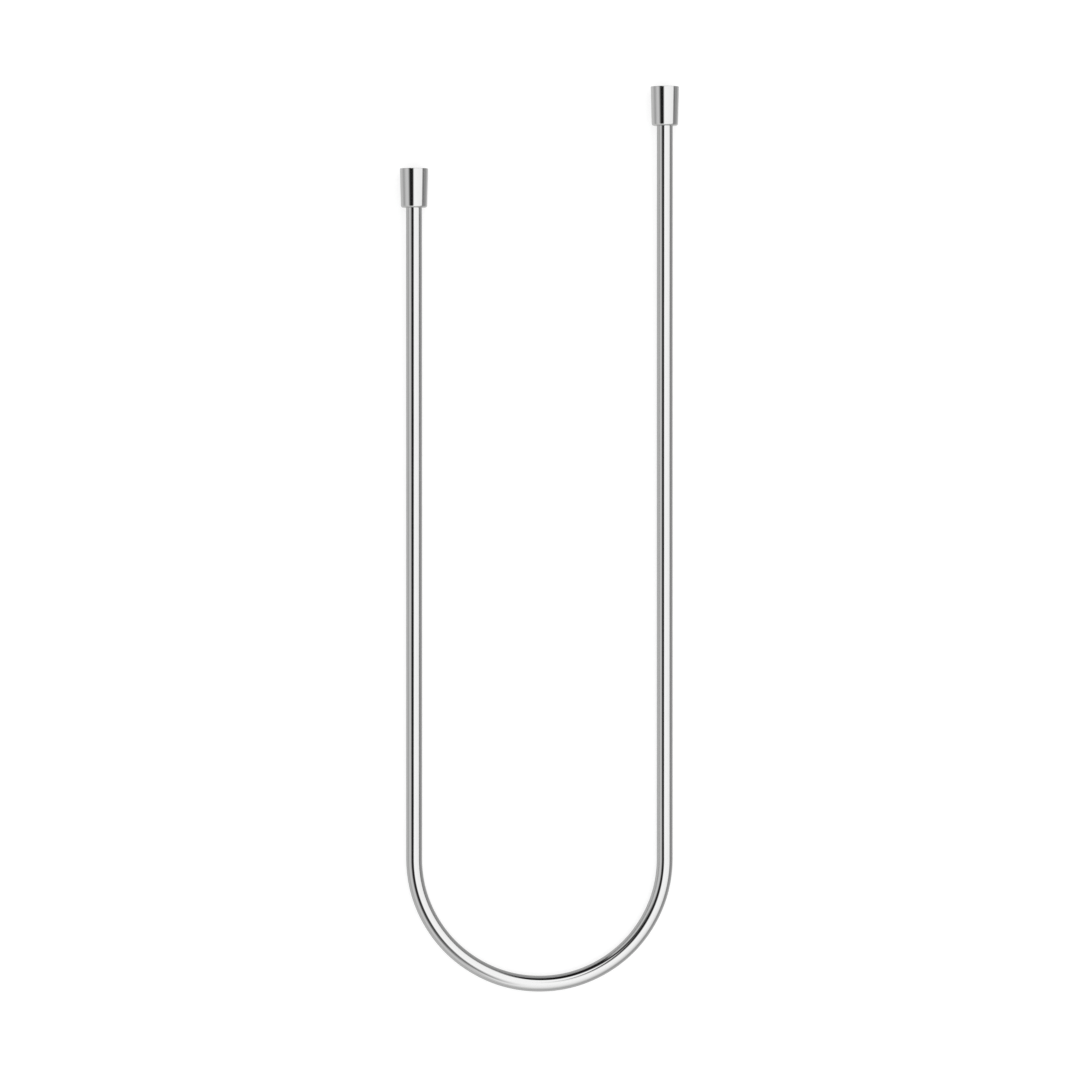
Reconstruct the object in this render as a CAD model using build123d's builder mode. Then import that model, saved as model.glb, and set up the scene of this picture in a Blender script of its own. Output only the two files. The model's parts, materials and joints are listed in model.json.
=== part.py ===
from build123d import *

import os
from collections import namedtuple
from math import cos, pi, radians, sin, tan

# A smooth silver shower hose, laid flat in a U, with a loose cone nut at each end.
# Millimetres. +Z is up and the hose lies on Z = 0. The nuts point along +Y.
# Depths are measured along a nut's axis, from its mouth towards the hose.

# Lay, seen from above: two straight legs and a half circle, one mouth further out than the other
overall_length = 1600.0
leg_spacing = 216.2
mouth_stagger = 70.6

# Hose
hose_diameter = 13.6
hose_wall = 2.8

# Pipe thread of the nuts, parallel, half inch nominal: a plain bore at the root of the thread
thread_major_diameter = 20.955
thread_depth = 9.0

# Cone nut
nut_mouth_wall = 1.72
nut_half_angle = 1.5
nut_rear_wall = 4.4
nut_rear_round = 2.0
nut_mouth_round = 0.3
thread_lead_in = 0.8
hole_lead_in = 0.5

# Sealing washer
washer_thickness = 2.0
washer_width = 3.7
washer_round = 0.25

# Hose tail: a collar that seats the washer, and a barbed shank inside the hose
collar_thickness = 2.6
collar_chamfer = 0.4
tail_wall = 0.55
barb_height = 0.35
barb_count = 5
barb_pitch = 2.4
barb_start = 1.6
tail_tip = 1.2

# Crimp ferrule: a sleeve round the hose end, with an inner lip and an outer flange
ferrule_length = 14.4
ferrule_wall = 0.8
ferrule_lip = 0.8
flange_thickness = 1.4
flange_bell = 0.4
crimp_count = 3
crimp_radius = 0.9
crimp_depth = 0.3

# Slip ring, the low-friction washer that the nut turns on
slip_ring_width = 1.94
slip_ring_thickness = 1.4
slip_ring_chamfer = 0.2

# Radial clearances
thread_clearance = 0.02
chamber_clearance = 0.3
washer_clearance = 0.12
hose_clearance = 0.4
ring_clearance = 0.3
lip_clearance = 0.1

# Corners of the hose's route round the bend, from the bend's centre, in bend radii
bend_corners = [
    (-1.0, -0.268),
    (-0.732, -0.732),
    (-0.268, -1.0),
    (0.268, -1.0),
    (0.732, -0.732),
    (1.0, -0.268),
]
bend_share = 0.45

# Radii that follow
hose_radius = hose_diameter / 2
bore_radius = hose_radius - hose_wall
thread_radius = thread_major_diameter / 2 + thread_clearance
mouth_radius = thread_radius + nut_mouth_wall
rear_hole_radius = hose_radius + hose_clearance
ring_bore_radius = hose_radius + ring_clearance
collar_radius = ring_bore_radius + slip_ring_width
chamber_radius = collar_radius + chamber_clearance
washer_radius = chamber_radius - washer_clearance

# Depths that follow, from the mouth inwards
washer_depth = thread_depth
collar_depth = washer_depth + washer_thickness
ferrule_depth = collar_depth + collar_thickness
hose_depth = ferrule_depth + ferrule_lip
ring_depth = ferrule_depth + ferrule_length
shoulder_depth = ring_depth + slip_ring_thickness
nut_length = shoulder_depth + nut_rear_wall
rear_radius = mouth_radius - nut_length * tan(radians(nut_half_angle))

# Places that follow: the origin is midway between the end fittings.
bend_radius = leg_spacing / 2
handset_leg = (overall_length - pi * bend_radius + mouth_stagger) / 2
handset_mouth_y = (mouth_stagger + nut_length) / 2
mouths = {
    "wall": (-bend_radius, handset_mouth_y - mouth_stagger),
    "handset": (bend_radius, handset_mouth_y),
}
bend_centre = Vector(0, handset_mouth_y - handset_leg, hose_radius)

# A nut lies on the side of its cone, so its axis drops towards the hose by the half angle.
into_hose = Vector(0, -cos(radians(nut_half_angle)), -sin(radians(nut_half_angle)))
mouth_height = mouth_radius * cos(radians(nut_half_angle))

# Each end has a section plane: X is the radius, Y is the depth.
End = namedtuple("End", "name mouth section axis")


def place_end(name):
    mouth = Vector(*mouths[name], mouth_height)
    radial = Vector(1, 0, 0)
    section = Plane(mouth, x_dir=radial, z_dir=radial.cross(into_hose))
    return End(name, mouth, section, Axis(mouth, into_hose))


def save(piece, name):
    piece.part.label = name
    export_step(piece.part, f"parts/{name}.step")


# Cone nut: turned brass, threaded at the mouth, with a shoulder round the hose at the rear
def make_nut(end):
    with BuildPart() as nut:
        with BuildSketch(end.section):
            with BuildLine():
                Polyline(
                    (thread_radius + thread_lead_in, 0),
                    (mouth_radius, 0),
                    (rear_radius, nut_length),
                    (rear_hole_radius + hole_lead_in, nut_length),
                    (rear_hole_radius, nut_length - hole_lead_in),
                    (rear_hole_radius, shoulder_depth),
                    (chamber_radius, shoulder_depth),
                    (chamber_radius, thread_depth),
                    (thread_radius, thread_depth),
                    (thread_radius, thread_lead_in),
                    close=True,
                )
            make_face()
        revolve(axis=end.axis)
        mouth_edge = nut.edges().group_by(end.axis)[0].sort_by(SortBy.RADIUS)[-1]
        fillet(mouth_edge, nut_mouth_round)
        rear_edge = nut.edges().group_by(end.axis)[-1].sort_by(SortBy.RADIUS)[-1]
        fillet(rear_edge, nut_rear_round)
    save(nut, f"{end.name}_nut")


# Sealing washer: rubber, lies on the tail's collar at the bottom of the thread
def make_washer(end):
    with BuildPart() as washer:
        with BuildSketch(end.section):
            with Locations((washer_radius - washer_width, washer_depth)):
                Rectangle(washer_width, washer_thickness, align=Align.MIN)
        revolve(axis=end.axis)
        fillet(washer.edges().filter_by(GeomType.CIRCLE), washer_round)
    save(washer, f"{end.name}_washer")


# Hose tail: turned brass, its barbs point back against the pull of the hose
def make_tail(end):
    root_radius = bore_radius - barb_height
    tail_bore = root_radius - tail_wall
    barbs = []
    for barb in range(barb_count):
        top = hose_depth + barb_start + barb * barb_pitch
        barbs += [(root_radius, top), (bore_radius, top)]
    tip = hose_depth + barb_start + barb_count * barb_pitch
    with BuildPart() as tail:
        with BuildSketch(end.section):
            with BuildLine():
                Polyline(
                    (tail_bore, collar_depth),
                    (collar_radius - collar_chamfer, collar_depth),
                    (collar_radius, collar_depth + collar_chamfer),
                    (collar_radius, ferrule_depth),
                    (bore_radius, ferrule_depth),
                    (bore_radius, hose_depth),
                    *barbs,
                    (root_radius, tip),
                    (root_radius, tip + tail_tip),
                    (tail_bore, tip + tail_tip),
                    close=True,
                )
            make_face()
        revolve(axis=end.axis)
    save(tail, f"{end.name}_tail")


# Crimp ferrule: stainless sleeve, its lip held under the collar, its flange bears on the slip ring
def make_ferrule(end):
    sleeve_radius = hose_radius + ferrule_wall
    flange_depth = ring_depth - flange_thickness
    crimp_pitch = (flange_depth - hose_depth) / (crimp_count + 1)
    crimp_line = sleeve_radius + crimp_radius - crimp_depth
    crimps = [(crimp_line, hose_depth + (n + 1) * crimp_pitch) for n in range(crimp_count)]
    with BuildPart() as ferrule:
        with BuildSketch(end.section):
            with BuildLine():
                Polyline(
                    (bore_radius + lip_clearance, ferrule_depth),
                    (sleeve_radius, ferrule_depth),
                    (sleeve_radius, flange_depth),
                    (collar_radius, flange_depth),
                    (collar_radius, ring_depth),
                    (hose_radius + flange_bell, ring_depth),
                    (hose_radius, ring_depth - flange_bell),
                    (hose_radius, hose_depth),
                    (bore_radius + lip_clearance, hose_depth),
                    close=True,
                )
            make_face()
            with Locations(*crimps):
                Circle(crimp_radius, mode=Mode.SUBTRACT)
        revolve(axis=end.axis)
    save(ferrule, f"{end.name}_ferrule")


# Slip ring: acetal, between the ferrule's flange and the nut's shoulder
def make_slip_ring(end):
    with BuildPart() as slip_ring:
        with BuildSketch(end.section):
            with Locations((ring_bore_radius, ring_depth)):
                Rectangle(slip_ring_width, slip_ring_thickness, align=Align.MIN)
        revolve(axis=end.axis)
        chamfer(slip_ring.edges().filter_by(GeomType.CIRCLE), slip_ring_chamfer)
    save(slip_ring, f"{end.name}_slip_ring")


# Hose: one tube, straight out of each nut, down to the floor, along the legs and round the bend
def on_axis(end, depth):
    return end.mouth + into_hose * depth


def corner_radius(before, corner, after):
    shorter_run = min((corner - before).length, (after - corner).length)
    turn = (corner - before).get_angle(after - corner)
    return bend_share * shorter_run / tan(radians(turn / 2))


def make_hose(start, finish):
    floor_depth = (mouth_height - hose_radius) / sin(radians(nut_half_angle))
    points = [on_axis(start, hose_depth), on_axis(start, floor_depth)]
    points += [bend_centre + Vector(x, y, 0) * bend_radius for x, y in bend_corners]
    points += [on_axis(finish, floor_depth), on_axis(finish, hose_depth)]
    radii = [corner_radius(*points[n - 1 : n + 2]) for n in range(1, len(points) - 1)]
    with BuildPart() as hose:
        with BuildLine() as route:
            FilletPolyline(*points, radius=radii)
        with BuildSketch(Plane(points[0], z_dir=into_hose)) as ring:
            Circle(hose_radius)
            Circle(bore_radius, mode=Mode.SUBTRACT)
        sweep(path=route.wire())
    save(hose, "hose")
    for point in points:
        print("route point", [round(value, 2) for value in point])
    tube_length = route.wire().length
    section_volume = ring.sketch.area * tube_length
    print("hose corner radii", [round(radius, 1) for radius in radii])
    print("hose length", round(tube_length, 1), "mouth to mouth", round(tube_length + 2 * hose_depth, 1))
    print("hose volume over section times length", round(hose.part.volume / section_volume, 5))


os.makedirs("parts", exist_ok=True)
ends = [place_end(name) for name in mouths]
for end in ends:
    make_nut(end)
    make_washer(end)
    make_tail(end)
    make_ferrule(end)
    make_slip_ring(end)
make_hose(*ends)
print("nut length", round(nut_length, 2), "mouth", round(2 * mouth_radius, 2), "rear", round(2 * rear_radius, 2))
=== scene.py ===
# %% [markdown]
# # A silver shower hose, laid in a U
#
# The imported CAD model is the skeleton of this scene: two cone nuts with the small pieces inside them, and
# a plain tube for the hose. It is loaded first and stays where it is. The cells below dress it with a
# smoother hose, the turns of the pipe threads, the finishes, and a small studio that gives bright metal
# something to mirror.

# %% Load the fixed frame
import json
import math

import bpy
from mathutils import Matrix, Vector


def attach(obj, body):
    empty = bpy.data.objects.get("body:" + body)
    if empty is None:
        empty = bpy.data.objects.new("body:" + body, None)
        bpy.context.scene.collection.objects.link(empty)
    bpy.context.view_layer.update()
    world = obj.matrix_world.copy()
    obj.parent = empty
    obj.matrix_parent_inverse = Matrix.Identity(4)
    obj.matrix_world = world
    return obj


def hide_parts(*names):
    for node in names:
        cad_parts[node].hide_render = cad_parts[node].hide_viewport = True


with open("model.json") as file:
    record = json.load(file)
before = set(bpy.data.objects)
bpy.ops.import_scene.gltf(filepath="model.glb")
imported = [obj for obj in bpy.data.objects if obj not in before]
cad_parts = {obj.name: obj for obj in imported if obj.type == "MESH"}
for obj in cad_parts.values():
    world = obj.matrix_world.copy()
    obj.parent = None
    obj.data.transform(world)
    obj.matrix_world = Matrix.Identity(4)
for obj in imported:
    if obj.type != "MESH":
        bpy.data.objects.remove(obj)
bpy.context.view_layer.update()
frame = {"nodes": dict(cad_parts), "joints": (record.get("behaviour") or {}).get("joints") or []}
nodes = frame["nodes"]
millimetre = 0.001
joints = {joint["name"]: joint for joint in frame["joints"]}
end_names = ("wall", "handset")
mouths = {end: Vector(joints[f"{end}_nut_spin"]["pos_m"]) for end in end_names}
outward = Vector(joints["wall_nut_spin"]["axis"])
nut_tilt = math.asin(outward.z)
print("nut axes drop by", round(math.degrees(nut_tilt), 2), "degrees")

# %% [markdown]
# ## The camera
#
# The photograph shows the hose hanging with both nuts at the top. A hose can't stand like that unheld, so
# here it lies on a table and the camera looks straight down, with the nuts towards the top of the
# picture. A long lens from far away keeps the two legs parallel, as a product photographer would.

# %% Camera
picture_px = 1080
picture_mm_per_px = 0.8629
picture_middle = (0.0005, -0.3386)
camera_height = 4.5
sensor_mm = 36.0
hose_radius = 6.8 * millimetre
picture_width = picture_px * picture_mm_per_px * millimetre

bpy.ops.object.camera_add(location=(*picture_middle, camera_height), rotation=(0, 0, 0))
camera = bpy.context.object
camera.name = "camera_above"
camera.data.sensor_width = sensor_mm
camera.data.lens = sensor_mm * (camera_height - hose_radius) / picture_width
bpy.context.scene.camera = camera
print("lens", round(camera.data.lens, 1), "mm for a picture", round(picture_width, 3), "m wide")

# %% [markdown]
# ## The hose
#
# The real hose is an extruded PVC tube with silver foil under a clear skin. It is one fixed length that
# lies under its own weight: straight out of each nut, down to the table, along two straight legs and
# round a half circle. A mesh could be swept ring by ring, but a NURBS line through the same route as the
# CAD tube already is one smooth curve. Its round bevel gives the skin, and Solidify makes that a hollow
# tube, so that the hose tail fits inside.

# %% Route of the hose, in metres
route = [
    (-0.1081, -0.0328, 0.01184),
    (-0.1081, -0.22513, 0.0068),
    (-0.1081, -0.41746, 0.0068),
    (-0.1081, -0.58435, 0.0068),
    (-0.1081, -0.64227, 0.0068),
    (-0.07913, -0.69243, 0.0068),
    (-0.02897, -0.7214, 0.0068),
    (0.02897, -0.7214, 0.0068),
    (0.07913, -0.69243, 0.0068),
    (0.1081, -0.64227, 0.0068),
    (0.1081, -0.58435, 0.0068),
    (0.1081, -0.34686, 0.0068),
    (0.1081, -0.15453, 0.0068),
    (0.1081, 0.0378, 0.01184),
]
rings_per_run = 24

line = bpy.data.curves.new("hose_line", "CURVE")
line.dimensions = "3D"
line.resolution_u = rings_per_run
spline = line.splines.new("NURBS")
spline.points.add(len(route) - 1)
for point, place in zip(spline.points, route):
    point.co = (*place, 1)
spline.order_u = 3
spline.use_endpoint_u = True
hose = bpy.data.objects.new("silver_hose", line)
bpy.context.scene.collection.objects.link(hose)
bpy.context.view_layer.update()

bare_line = bpy.data.meshes.new_from_object(hose)
hose_path = [vertex.co.copy() for vertex in bare_line.vertices]
bpy.data.meshes.remove(bare_line)
length_so_far = [0.0]
for before, after in zip(hose_path, hose_path[1:]):
    length_so_far.append(length_so_far[-1] + (after - before).length)
hose_length = length_so_far[-1]
print("hose line of", len(hose_path), "points,", round(hose_length, 4), "m long")

# %% Skin and wall of the hose
hose_wall = 2.8 * millimetre
skin_sides = 64
sharp_angle = math.radians(40)


def pick_only(piece):
    """Deselects everything, then selects one piece, because an operator acts on all that is selected."""
    bpy.ops.object.select_all(action="DESELECT")
    piece.select_set(True)
    bpy.context.view_layer.objects.active = piece


line.bevel_depth = hose_radius
line.bevel_resolution = skin_sides // 2 - 2
pick_only(hose)
bpy.ops.object.convert(target="MESH")
hose = bpy.context.object
bpy.ops.object.mode_set(mode="EDIT")
bpy.ops.mesh.select_all(action="SELECT")
bpy.ops.mesh.normals_make_consistent(inside=False)
bpy.ops.object.mode_set(mode="OBJECT")
wall = hose.modifiers.new("wall", "SOLIDIFY")
wall.thickness = hose_wall
wall.offset = -1
wall.use_even_offset = True
bpy.ops.object.modifier_apply(modifier=wall.name)
bpy.ops.object.shade_smooth_by_angle(angle=sharp_angle)
print("hose of", len(hose.data.polygons), "faces")

# %% Even out the UV map along the hose
# The curve's own map counts rings, which are closer in the bend, so U becomes a share of the length.
last_ring = len(hose_path) - 1
for corner in hose.data.uv_layers.active.data:
    ring = round(corner.uv.x * last_ring)
    corner.uv.x = length_so_far[ring] / hose_length

# %% [markdown]
# ## The pipe threads
#
# Each nut has a half inch pipe thread: a ridge that winds along the wall of its bore, 1.814 mm from turn
# to turn, with sloping flanks and a rounded crest. It could be a bump in the finish, but the mouth of a
# nut is open to view and the outline of the ridge shows there, so it is modelled. One section is drawn
# upright, wound by a Screw modifier, faded into the wall at both ends as a cut thread is, and copied for
# the second nut.

# %% Section of the ridge, on the X axis
thread_pitch = 1.814 * millimetre
thread_wall_radius = 10.4975 * millimetre
thread_crest_radius = 9.3155 * millimetre
thread_start = 1.0 * millimetre
thread_end = 9.0 * millimetre
ridge_base = 1.5 * millimetre
ridge_crest = 0.42 * millimetre
ridge_sunk = 0.05 * millimetre
ridge_round = 0.4 * ridge_crest
round_steps = 3
ridge_height = thread_wall_radius + ridge_sunk - thread_crest_radius
ridge_middle = thread_crest_radius + ridge_height / 2

bpy.ops.object.select_all(action="DESELECT")
bpy.ops.mesh.primitive_plane_add(size=1, location=(ridge_middle, 0, 0), rotation=(math.pi / 2, 0, 0))
ridge = bpy.context.object
ridge.scale = (ridge_height, ridge_base, 1)
bpy.ops.object.transform_apply(location=True, rotation=True, scale=True)
bpy.ops.object.mode_set(mode="EDIT")
bpy.ops.mesh.select_mode(type="VERT")
bpy.ops.mesh.select_all(action="DESELECT")
bpy.ops.object.mode_set(mode="OBJECT")
for vertex in ridge.data.vertices:
    vertex.select = vertex.co.x < ridge_middle
bpy.ops.object.mode_set(mode="EDIT")
narrowing = (1, 1, ridge_crest / ridge_base)
bpy.ops.transform.resize(value=narrowing, center_override=(thread_crest_radius, 0, 0))
bpy.ops.mesh.bevel(offset=ridge_round, segments=round_steps, affect="VERTICES")
bpy.ops.mesh.select_all(action="SELECT")
bpy.ops.mesh.delete(type="ONLY_FACE")
bpy.ops.object.mode_set(mode="OBJECT")
section_points = len(ridge.data.vertices)
print("ridge section of", section_points, "points")

# %% Wind the ridge and close its ends
steps_per_turn = 96
thread_turns = (thread_end - thread_start - ridge_base) / thread_pitch
thread_steps = round(steps_per_turn * thread_turns)

turns = ridge.modifiers.new("turns", "SCREW")
turns.axis = "Z"
turns.angle = math.tau * thread_turns
turns.screw_offset = thread_pitch * thread_turns
turns.steps = thread_steps
turns.render_steps = thread_steps
pick_only(ridge)
bpy.ops.object.modifier_apply(modifier=turns.name)
bpy.ops.object.mode_set(mode="EDIT")
bpy.ops.mesh.select_all(action="SELECT")
bpy.ops.mesh.fill_holes(sides=section_points)
bpy.ops.mesh.normals_make_consistent(inside=False)
bpy.ops.object.mode_set(mode="OBJECT")
print("thread of", round(thread_turns, 2), "turns and", len(ridge.data.polygons), "faces")

# %% Fade both ends into the wall
# The Screw modifier lays its points step by step, so a point's number tells how far along it is.
fade_turns = 0.35
for number, vertex in enumerate(ridge.data.vertices):
    turns_from_start = number // section_points / steps_per_turn
    turns_from_end = thread_turns - turns_from_start
    height_share = min(1.0, max(0.0, min(turns_from_start, turns_from_end) / fade_turns))
    radius = vertex.co.xy.length
    if radius < thread_wall_radius:
        faded = thread_wall_radius - (thread_wall_radius - radius) * height_share
        vertex.co.xy *= faded / radius
pick_only(ridge)
bpy.ops.object.shade_smooth_by_angle(angle=sharp_angle)

# %% Seat a thread in each nut
threads = {}
for end in end_names:
    thread = ridge.copy()
    thread.data = ridge.data.copy()
    thread.name = f"{end}_nut_thread"
    bpy.context.scene.collection.objects.link(thread)
    thread.location = mouths[end] - outward * (thread_end - ridge_base / 2)
    thread.rotation_euler = (nut_tilt - math.pi / 2, 0, 0)
    pick_only(thread)
    bpy.ops.object.transform_apply(location=True, rotation=True, scale=True)
    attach(thread, f"{end}_nut")
    threads[end] = thread
bpy.data.objects.remove(ridge)
print("threads", [thread.name for thread in threads.values()])

# %% [markdown]
# ## The hose on its body
#
# The real hose lies loose, leaves the wall nut through its rear, and carries the handset end's pieces. Here
# the hose stands for the CAD tube and rides on the same body, and the CAD tube is hidden.

nut_length = 33.8 * millimetre
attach(hose, "hose")
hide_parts("hose")

# %% [markdown]
# ## Finishes
#
# Colours are written as the sRGB hex values that a colour picker shows, and one function turns them into
# the linear values that a shader needs. A second one adds a node with its settings and links. On most
# pieces one pattern, such as rings from a lathe or the grain of a mould, shows in the colour, the gloss
# and the relief alike, so a third function makes a surface from a pattern.

# %% Helpers for finishes
# Most values of a noise lie between these two.
noise_low, noise_high = 0.3, 0.7


def linear(hex_colour):
    """An sRGB colour such as #C8CACC as linear RGBA."""
    values = [int(hex_colour[start : start + 2], 16) / 255 for start in (1, 3, 5)]
    straight = [value / 12.92 if value <= 0.04045 else ((value + 0.055) / 1.055) ** 2.4 for value in values]
    return (*straight, 1)


def add_node(tree, kind, inputs=None, **settings):
    """Adds a node. Settings are its own properties, and an input is a value, a node or a socket."""
    node = tree.nodes.new(kind)
    for name, value in settings.items():
        setattr(node, name, value)
    in_use = [socket for socket in node.inputs if socket.enabled]
    for place, value in (inputs or {}).items():
        socket = next(socket for number, socket in enumerate(in_use) if place in (number, socket.name))
        if isinstance(value, bpy.types.Node):
            value = next(output for output in value.outputs if output.enabled)
        if isinstance(value, bpy.types.NodeSocket):
            tree.links.new(value, socket)
        else:
            socket.default_value = value
    return node


def new_finish(name):
    """An empty material and its node tree."""
    finish = bpy.data.materials.new(name)
    finish.use_nodes = True
    finish.node_tree.nodes.clear()
    return finish, finish.node_tree


def surface_from(tree, pattern, colours, roughness, relief_height, metallic=0.0):
    """A surface whose colour, gloss and relief follow one pattern, each from a low value to a high one."""
    dark, light = (linear(colour) for colour in colours)
    colour = add_node(tree, "ShaderNodeMix", {"Factor": pattern, "A": dark, "B": light}, data_type="RGBA")
    least, most = roughness
    spread = {"From Min": noise_low, "From Max": noise_high, "To Min": least, "To Max": most}
    gloss = add_node(tree, "ShaderNodeMapRange", {"Value": pattern, **spread})
    relief = add_node(tree, "ShaderNodeBump", {"Height": pattern, "Distance": relief_height})
    surface = add_node(
        tree,
        "ShaderNodeBsdfPrincipled",
        {"Base Color": colour, "Metallic": metallic, "Roughness": gloss, "Normal": relief},
    )
    add_node(tree, "ShaderNodeOutputMaterial", {"Surface": surface})
    return surface


# %% [markdown]
# ### Marks of the lathe
#
# The nuts, the tails and the ferrules are round, and what made them left marks round their axis. That
# axis is a little tilted, so a Mapping node turns a point's place into the end's own frame. There the
# depth from the mouth and the radius are plain numbers, and a noise that reads only their sum draws rings
# on walls and on flat faces alike.


# %% Place on an end's axis, and rings round it
def turned_place(tree, end):
    """Nodes for a place in an end's own frame, in metres: the vector, the depth and the radius."""
    where = add_node(tree, "ShaderNodeTexCoord")
    own = add_node(
        tree,
        "ShaderNodeMapping",
        {"Vector": where.outputs["Object"], "Location": mouths[end], "Rotation": (nut_tilt, 0, 0)},
        vector_type="TEXTURE",
    )
    depth = add_node(tree, "ShaderNodeVectorMath", {0: own, 1: (0, -1, 0)}, operation="DOT_PRODUCT")
    across = add_node(tree, "ShaderNodeVectorMath", {0: own, 1: (1, 0, 1)}, operation="MULTIPLY")
    radius = add_node(tree, "ShaderNodeVectorMath", {0: across}, operation="LENGTH")
    return own, depth, radius


def lathe_rings(tree, depth, radius, spacing):
    """Uneven rings: by depth along a wall, by radius across a flat face."""
    run = add_node(tree, "ShaderNodeMath", {0: depth, 1: radius}, operation="ADD")
    rings = {"W": run, "Scale": 1 / spacing, "Detail": 2.0}
    return add_node(tree, "ShaderNodeTexNoise", rings, noise_dimensions="1D")


# %% [markdown]
# ### Chrome plate
#
# The nuts are turned from brass, polished, and plated with nickel and a very thin layer of chrome.
# Outside that is almost a mirror, a little darker than silver, with faint smears that only change its
# gloss. Inside the bore the bath hardly reaches, so the plate there is thin, dull and warmed by the brass
# below. A mask made from depth and radius tells the two apart, which needs no second piece.

# %% Chrome plate
# Each pair tells where the plate is still bright and where it is dull.
bore_radii = (thread_wall_radius + 0.25 * millimetre, thread_wall_radius + 0.05 * millimetre)
mouth_depths = (0.6 * millimetre, 4.0 * millimetre)
rear_depths = (nut_length - 0.2 * millimetre, nut_length - 1.5 * millimetre)
bright_plate, dull_plate = "#C7C7C7", "#B7AA90"
plate_roughness = (0.03, 0.07)
dull_roughness = 0.2
smear_size = 6 * millimetre
# Polishing leaves rings finer than this, and these are drawn coarser so that they show.
polish_spacing = 0.5 * millimetre
polish_height = 0.0006 * millimetre


def chrome_plate(end):
    finish, tree = new_finish(f"{end}_chrome_plated_brass")
    own, depth, radius = turned_place(tree, end)
    bore = 1.0
    for place, (bright, dull) in ((radius, bore_radii), (depth, mouth_depths), (depth, rear_depths)):
        side = add_node(tree, "ShaderNodeMapRange", {"Value": place, "From Min": bright, "From Max": dull})
        bore = add_node(tree, "ShaderNodeMath", {0: side, 1: bore}, operation="MULTIPLY")
    plating = {"Factor": bore, "A": linear(bright_plate), "B": linear(dull_plate)}
    colour = add_node(tree, "ShaderNodeMix", plating, data_type="RGBA")
    handling = {"Vector": own, "Scale": 1 / smear_size, "Detail": 3.0}
    smears = add_node(tree, "ShaderNodeTexNoise", handling)
    least, most = plate_roughness
    spread = {"From Min": noise_low, "From Max": noise_high, "To Min": least, "To Max": most}
    gloss = add_node(tree, "ShaderNodeMapRange", {"Value": smears, **spread})
    dulling = {0: bore, 1: dull_roughness, 2: gloss}
    duller = add_node(tree, "ShaderNodeMath", dulling, operation="MULTIPLY_ADD")
    rings = lathe_rings(tree, depth, radius, polish_spacing)
    polish = add_node(tree, "ShaderNodeBump", {"Height": rings, "Distance": polish_height})
    plate = add_node(
        tree,
        "ShaderNodeBsdfPrincipled",
        {"Base Color": colour, "Metallic": 1.0, "Roughness": duller, "Normal": polish},
    )
    add_node(tree, "ShaderNodeOutputMaterial", {"Surface": plate})
    return finish


chrome = {end: chrome_plate(end) for end in end_names}
print("chrome", [finish.name for finish in chrome.values()])

# %% [markdown]
# ### Turned brass and pressed steel
#
# The hose tail is turned from brass bar and left bare, so it is yellow, with rings from the cutting tool.
# The ferrule is a stainless sleeve, pressed from tube and squeezed on, greyer and more satin. Both are
# bare metal: the rings vary the colour a little and the gloss more, and stand up slightly.

# %% Turned brass and pressed steel
turning_spacing = 0.35 * millimetre
pressing_spacing = 0.25 * millimetre
ring_height = 0.004 * millimetre


def turned_brass(end):
    finish, tree = new_finish(f"{end}_turned_brass")
    depth, radius = turned_place(tree, end)[1:]
    rings = lathe_rings(tree, depth, radius, turning_spacing)
    surface_from(tree, rings, ("#C6A562", "#D5BA7E"), (0.14, 0.26), ring_height, metallic=1.0)
    return finish


def pressed_steel(end):
    finish, tree = new_finish(f"{end}_pressed_stainless_steel")
    depth, radius = turned_place(tree, end)[1:]
    rings = lathe_rings(tree, depth, radius, pressing_spacing)
    surface_from(tree, rings, ("#AFADA9", "#C0BEBA"), (0.2, 0.32), ring_height, metallic=1.0)
    return finish


brass = {end: turned_brass(end) for end in end_names}
steel = {end: pressed_steel(end) for end in end_names}
print("bare metals", [finish.name for finish in (*brass.values(), *steel.values())])

# %% [markdown]
# ### Moulded rubber and acetal
#
# The sealing washer is moulded from black rubber. It is dull, with a fine grain and the grey bloom that
# rubber gets. The slip ring is moulded from white acetal, which is waxy and a little shiny, with faint
# clouds where the melt flowed together. A grain with no direction needs no axis, so a plain noise on
# Object coordinates gives both.


# %% Moulded rubber and acetal
def moulded(name, grain_size, colours, roughness, relief_height):
    finish, tree = new_finish(name)
    where = add_node(tree, "ShaderNodeTexCoord")
    grain = {"Vector": where.outputs["Object"], "Scale": 1 / grain_size, "Detail": 4.0}
    surface_from(tree, add_node(tree, "ShaderNodeTexNoise", grain), colours, roughness, relief_height)
    return finish


rubber = moulded(
    "moulded_rubber",
    grain_size=0.4 * millimetre,
    colours=("#161617", "#303031"),
    roughness=(0.55, 0.75),
    relief_height=0.02 * millimetre,
)
acetal = moulded(
    "moulded_acetal",
    grain_size=2.5 * millimetre,
    colours=("#E4E1D8", "#F1EFE9"),
    roughness=(0.3, 0.42),
    relief_height=0.004 * millimetre,
)
print("plastics", [rubber.name, acetal.name])

# %% [markdown]
# ### Silver PVC
#
# The hose is a PVC tube wound with aluminised foil, under a clear skin that keeps the foil bright. The
# eye sees a soft mirror below a sharper shine, so the shader is metal with a clear coat. The die draws
# very fine lines along the skin. They follow the tube round the bend, so they are made from the UV map: U
# is scaled by the length, and the cosine and sine of V go once round the tube and meet themselves without
# a seam.

# %% Silver PVC
# Real die lines are finer than this, and these are drawn coarser so that they show.
line_length = 60 * millimetre
line_width = 1.2 * millimetre
line_height = 0.006 * millimetre
line_scale = (hose_length / line_length, hose_radius / line_width, hose_radius / line_width)

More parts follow.
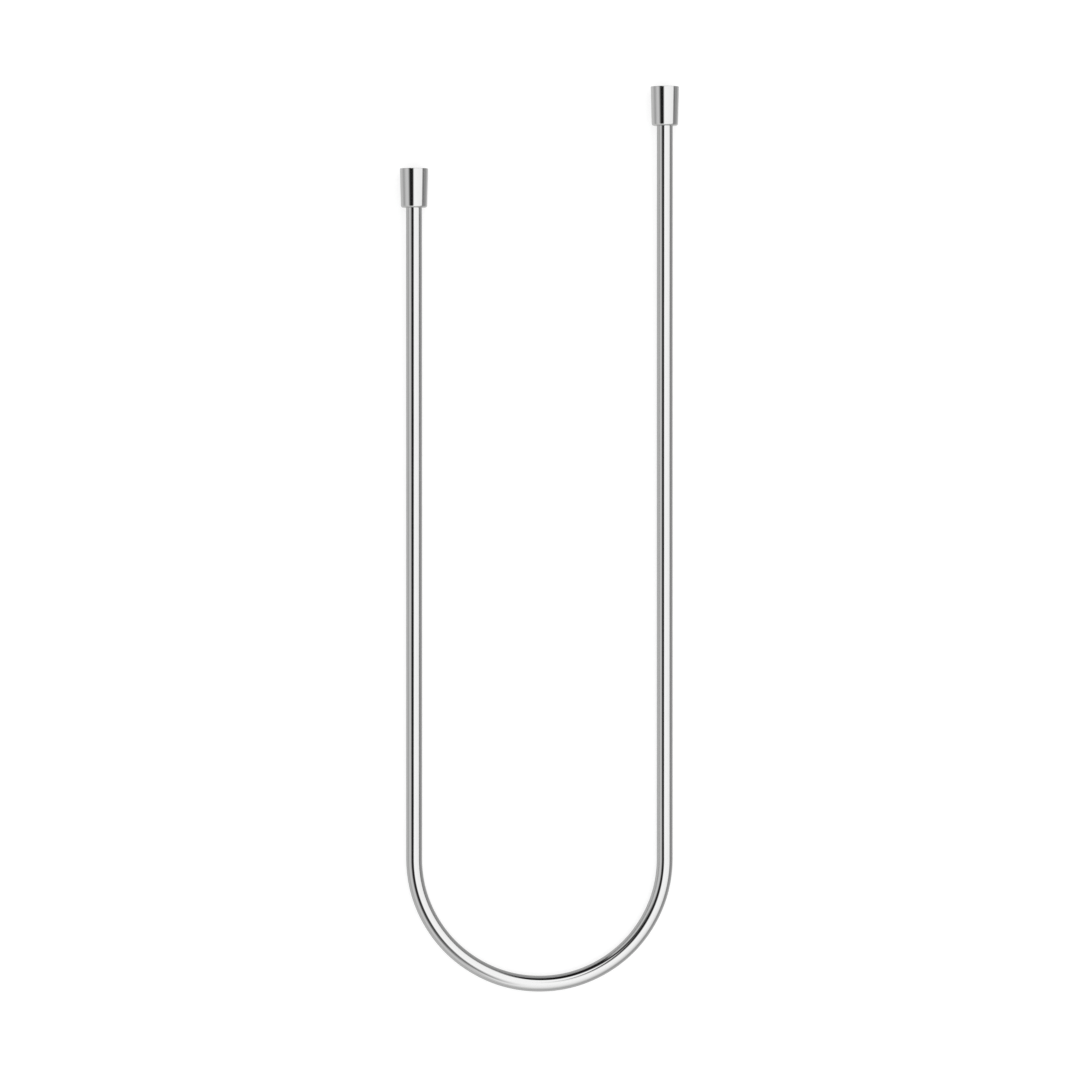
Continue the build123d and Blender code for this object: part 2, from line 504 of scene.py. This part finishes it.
silver_pvc, tree = new_finish("metallised_pvc")
where = add_node(tree, "ShaderNodeTexCoord")
part = add_node(tree, "ShaderNodeSeparateXYZ", {"Vector": where.outputs["UV"]})
turn = add_node(tree, "ShaderNodeMath", {0: part.outputs["Y"], 1: math.tau}, operation="MULTIPLY")
cosine = add_node(tree, "ShaderNodeMath", {0: turn}, operation="COSINE")
sine = add_node(tree, "ShaderNodeMath", {0: turn}, operation="SINE")
around = add_node(tree, "ShaderNodeCombineXYZ", {"X": part.outputs["X"], "Y": cosine, "Z": sine})
stretched = add_node(tree, "ShaderNodeVectorMath", {0: around, 1: line_scale}, operation="MULTIPLY")
lines = add_node(tree, "ShaderNodeTexNoise", {"Vector": stretched, "Scale": 1.0, "Detail": 2.0})
skin = surface_from(tree, lines, ("#C4C4C4", "#CACACA"), (0.04, 0.08), line_height, metallic=1.0)
# Seen along the wall, the foil gives back less light, so the hose is a little darker at its edges.
skin.inputs["Specular Tint"].default_value = linear("#BEBEBE")
skin.inputs["Coat Weight"].default_value = 0.35
skin.inputs["Coat Roughness"].default_value = 0.03
print("die lines", line_length, "m long and", line_width, "m wide")


# %% Dress every piece
def dress(piece, finish):
    """Gives a piece one finish, in the slot that it has or in a new one."""
    if piece.material_slots:
        piece.material_slots[0].material = finish
    else:
        piece.data.materials.append(finish)


dressing = [(hose, silver_pvc)]
for end in end_names:
    dressing += [
        (nodes[f"{end}_nut"], chrome[end]),
        (threads[end], chrome[end]),
        (nodes[f"{end}_tail"], brass[end]),
        (nodes[f"{end}_ferrule"], steel[end]),
        (nodes[f"{end}_washer"], rubber),
        (nodes[f"{end}_slip_ring"], acetal),
    ]
for piece, finish in dressing:
    dress(piece, finish)
print("dressed", len(dressing), "pieces")

# %% [markdown]
# ## The studio
#
# Bright metal is only as good as what it mirrors. The photograph shows a white room with a wide soft
# light overhead, more to the right than to the left. A long black flag hangs a little to the left of the
# camera and gives the dark line down every leg and nut, and two more beyond the nuts darken the inside of
# the bend. Each fades at its edges. Lamps could light the hose too, but a lamp's mirror image has a hard
# edge, so the light is a glowing card. The camera looks through the cards, and only light and reflections
# see them.

# %% Table
# A light table: the camera sees white. Its film sends the glow up and a little to the right and beyond,
# so the left and near rims of a tube mirror more of it than the others. Along the table it sends none.
table_size = 60
table_drop = 0.1 * millimetre
camera_glow = 0.69
mirror_glow = 0.44
film_lean = Vector((0.25, 0.2, 0.95)).normalized()
facing_along, facing_down = 0.92, 0.28

bpy.ops.object.select_all(action="DESELECT")
bpy.ops.mesh.primitive_plane_add(size=table_size, location=(0, 0, -table_drop))
table = bpy.context.object
table.name = "table"
white, tree = new_finish("white_light_table")
paper = add_node(tree, "ShaderNodeBsdfDiffuse", {"Color": linear("#9E9E9E")})
rays = add_node(tree, "ShaderNodeLightPath")
kinds = {0: rays.outputs["Is Glossy Ray"], 1: rays.outputs["Is Transmission Ray"]}
mirrored = add_node(tree, "ShaderNodeMath", kinds, operation="MAXIMUM")
lean = add_node(tree, "ShaderNodeCombineXYZ", dict(zip("XYZ", film_lean)))
slope = add_node(tree, "ShaderNodeLayerWeight", {"Blend": 0.5, "Normal": lean})
film = {"From Min": facing_along, "From Max": facing_down, "To Min": 0.0, "To Max": mirror_glow}
upwards = add_node(tree, "ShaderNodeMapRange", {"Value": slope.outputs["Facing"], **film})
reflected = add_node(tree, "ShaderNodeMath", {0: mirrored, 1: upwards}, operation="MULTIPLY")
seen = {0: rays.outputs["Is Camera Ray"], 1: camera_glow, 2: reflected}
strength = add_node(tree, "ShaderNodeMath", seen, operation="MULTIPLY_ADD")
glow = add_node(tree, "ShaderNodeEmission", {"Strength": strength})
both = add_node(tree, "ShaderNodeAddShader", {0: paper, 1: glow})
add_node(tree, "ShaderNodeOutputMaterial", {"Surface": both})
dress(table, white)
print("table", table.name)


# %% Soft light overhead
def hang_card(name, middle, width, length, tilt):
    """A flat card with its place in its mesh, so that a shader on it reads metres in the room."""
    bpy.ops.object.select_all(action="DESELECT")
    bpy.ops.mesh.primitive_plane_add(size=1, location=middle, rotation=(tilt, 0, 0))
    card = bpy.context.object
    card.name = name
    card.scale = (width, length, 1)
    bpy.ops.object.transform_apply(location=True, rotation=True, scale=True)
    card.visible_camera = False
    finish, tree = new_finish(name)
    dress(card, finish)
    where = add_node(tree, "ShaderNodeTexCoord")
    return card, tree, where.outputs["Object"]


# A card's placing is its middle, its width and its length in metres, and its tilt.
soft_light_placing = ((2.75, -0.5, 2.02), 7.9, 10.0, 0.0)
# Each ramp is a direction in the room, two places along it in metres, and the strength at each.
soft_light_ramps = (
    ((1, 0, 0), (0.0, 3.5), (1.56, 1.44)),
    ((0, 1, 0), (-5.2, -1.2), (0.7, 1.0)),
    ((-0.7, 0.71, 0), (1.25, 1.8), (1.0, 0.01)),
)
soft_light, tree, metres = hang_card("soft_light", *soft_light_placing)
strength = 1.0
for direction, places, strengths in soft_light_ramps:
    run = add_node(tree, "ShaderNodeVectorMath", {0: metres, 1: direction}, operation="DOT_PRODUCT")
    ramp = {"From Min": places[0], "From Max": places[1], "To Min": strengths[0], "To Max": strengths[1]}
    share = add_node(tree, "ShaderNodeMapRange", {"Value": run.outputs["Value"], **ramp})
    strength = add_node(tree, "ShaderNodeMath", {0: share, 1: strength}, operation="MULTIPLY")
glow = add_node(tree, "ShaderNodeEmission", {"Strength": strength})
add_node(tree, "ShaderNodeOutputMaterial", {"Surface": glow})
print("soft light", [round(size, 2) for size in soft_light.dimensions])

# %% Black flags
# A flag has a placing and edges. Each edge is a direction in the room and two places along it, in metres:
# where the flag is still clear, and where it covers.
left, nearer, further, higher = (-1, 0, 0), (0, -1, 0), (0, 1, 0), (0, 0, 1)
right_and_nearer, right_and_further, right_and_higher = (1, -0.07, 0), (1, 0.1, 0), (0.77, 0, 0.64)
velvet_glow = 0.015
flags = {
    "long_flag": (
        ((-1.7, -1.6, 2.0), 3.8, 4.4, 0.0),
        ((left, 2.55, 1.15), (right_and_nearer, 0.06, -0.43), (nearer, 3.5, 0.95), (further, 0.34, 0.12)),
    ),
    "far_flag": (
        ((-2.0, 1.6, 1.99), 3.2, 4.0, 0.0),
        ((left, 3.5, 1.75), (right_and_further, -0.56, -1.22), (nearer, 0.12, -0.5)),
    ),
    "back_flag": (
        ((-0.6, 3.0, 1.5), 5.6, 3.0, math.pi / 2),
        ((left, 3.2, 2.3), (right_and_higher, 1.64, 1.1), (higher, 2.8, 2.3)),
    ),
}
for name, (placing, edges) in flags.items():
    flag, tree, metres = hang_card(name, *placing)
    flag.visible_diffuse = False
    flag.visible_shadow = False
    cover = 1.0
    for direction, clear, covered in edges:
        run = add_node(tree, "ShaderNodeVectorMath", {0: metres, 1: direction}, operation="DOT_PRODUCT")
        edge = {"Value": run.outputs["Value"], "From Min": clear, "From Max": covered}
        fade = add_node(tree, "ShaderNodeMapRange", edge, interpolation_type="SMOOTHSTEP")
        cover = add_node(tree, "ShaderNodeMath", {0: fade, 1: cover}, operation="MULTIPLY")
    air = add_node(tree, "ShaderNodeBsdfTransparent")
    velvet = add_node(tree, "ShaderNodeEmission", {"Strength": velvet_glow})
    cloth = add_node(tree, "ShaderNodeMixShader", {0: cover, 1: air, 2: velvet})
    add_node(tree, "ShaderNodeOutputMaterial", {"Surface": cloth})
print("flags", list(flags))

# %% White room
# Near the horizon the walls are greyer, most to the right and beyond. The camera sees white all over.
wall_left, wall_right, wall_nearer = 0.58, 0.08, 0.46
ceiling, ceiling_starts = 0.92, 0.4

world = bpy.data.worlds.new("white_room")
bpy.context.scene.world = world
world.use_nodes = True
tree = world.node_tree
tree.nodes.clear()
where = add_node(tree, "ShaderNodeTexCoord")
part = add_node(tree, "ShaderNodeSeparateXYZ", {"Vector": where.outputs["Generated"]})
sideways = {"From Min": -1.0, "From Max": 1.0, "To Min": wall_left, "To Max": wall_right}
side_walls = add_node(tree, "ShaderNodeMapRange", {"Value": part.outputs["X"], **sideways})
towards = {"From Min": -1.0, "From Max": 0.0, "To Min": wall_nearer, "To Max": 0.0}
near_wall = add_node(tree, "ShaderNodeMapRange", {"Value": part.outputs["Y"], **towards})
horizon = add_node(tree, "ShaderNodeMath", {0: side_walls, 1: near_wall}, operation="ADD")
upwards = {"From Min": 0.0, "From Max": ceiling_starts, "To Min": horizon, "To Max": ceiling}
room = add_node(tree, "ShaderNodeMapRange", {"Value": part.outputs["Z"], **upwards})
rays = add_node(tree, "ShaderNodeLightPath")
level = add_node(tree, "ShaderNodeMath", {0: room, 1: rays.outputs["Is Camera Ray"]}, operation="MAXIMUM")
sky = add_node(tree, "ShaderNodeBackground", {"Color": linear("#FFFFFF"), "Strength": level})
add_node(tree, "ShaderNodeOutputWorld", {"Surface": sky})
bpy.context.scene.view_settings.view_transform = "Standard"
print("room", world.name)
